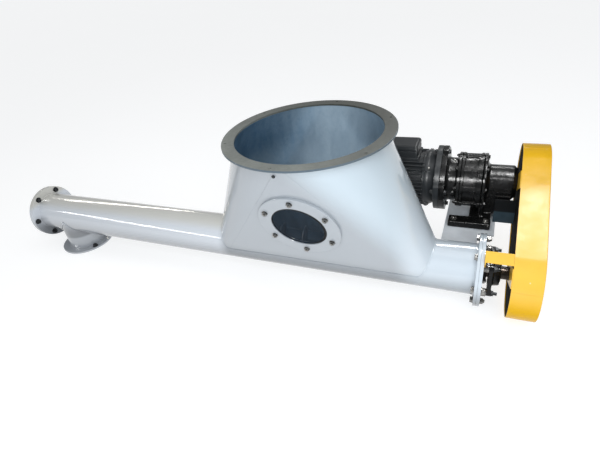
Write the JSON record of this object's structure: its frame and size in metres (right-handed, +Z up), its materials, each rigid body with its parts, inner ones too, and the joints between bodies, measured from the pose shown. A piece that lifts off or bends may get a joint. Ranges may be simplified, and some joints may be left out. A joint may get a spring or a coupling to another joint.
{
  "type": "screw conveyor",
  "caption": "Tubular screw conveyor with a round-mouthed inlet hopper, a sight glass, a flanged spout and a foot-mounted gear motor driving the screw through a guarded chain.",
  "frame": {"origin": "on the inlet ring's flat top face, over the tube axis, on the side towards the drive", "axes": "+X along the tube from the discharge end to the drive end, +Y towards the motor, +Z up"},
  "size_m": [2.8416, 0.9636, 0.8066],
  "materials": {
    "white_paint": "glossy off-white enamel",
    "bare_steel": "bare rolled steel, olive grey",
    "zinc": "zinc plated",
    "screw_steel": "bare steel",
    "chain_steel": "oiled dark steel",
    "black_cast": "black painted casting",
    "black_rubber": "matt black rubber",
    "clear_pane": "clear toughened glass",
    "yellow_paint": "gloss safety yellow",
    "grey_paint": "light grey paint",
    "slate_paint": "dark slate paint"
  },
  "bodies": {
    "conveyor": {"conveyor_tube": "white_paint", "discharge_end_flange": "white_paint", "discharge_end_cover": "white_paint", "discharge_spout": "white_paint", "discharge_flange": "white_paint", "drive_end_flange": "white_paint", "drive_end_plate": "white_paint", "hopper_discharge_end": "white_paint", "hopper_drive_end": "white_paint", "hopper_front": "white_paint", "hopper_back": "white_paint", "sight_glass_seat": "white_paint", "sight_glass_cover": "white_paint", "inlet_flange_ring": "bare_steel", "bearing_spacer_1": "zinc", "bearing_spacer_2": "zinc", "bearing_spacer_3": "zinc", "bearing_spacer_4": "zinc", "drive_chain": "chain_steel", "drive_bearing": "black_cast", "tail_bearing": "black_cast", "guard_back_plate": "black_cast", "reducer_nose_housing": "black_cast", "reducer_ring_gear": "black_cast", "reducer_input_housing": "black_cast", "motor_flange": "black_cast", "motor_end_shield": "black_cast", "motor_body": "black_cast", "motor_fan_cover": "black_cast", "terminal_box": "black_cast", "shaft_seal": "black_rubber", "sight_glass_gasket": "black_rubber", "sight_glass_pane": "clear_pane", "guard_cover": "yellow_paint", "guard_cross_plate_lower": "yellow_paint", "guard_cross_plate_upper": "yellow_paint", "guard_strap": "yellow_paint", "motor_base_plate": "grey_paint", "base_gusset_1": "grey_paint", "base_gusset_2": "grey_paint", "guard_stay": "slate_paint"},
    "screw": {"screw_shaft": "screw_steel", "screw_flight": "screw_steel", "driven_wheel": "chain_steel"},
    "output": {"reducer_output_shaft": "zinc", "drive_wheel": "chain_steel"}
  },
  "joints": [
    {"name": "screw_turn", "type": "hinge", "parent": "conveyor", "child": "screw", "pos_m": [-0.8703, 0, -0.6026], "axis": [1, 0, 0], "continuous": true},
    {"name": "output_turn", "type": "hinge", "parent": "conveyor", "child": "output", "pos_m": [0.5297, 0.40853, -0.3998], "axis": [1, 0, 0], "continuous": true}
  ],
  "couplings": [
    {"joint": "output_turn", "follows": "screw_turn", "ratio": 1.4}
  ]
}
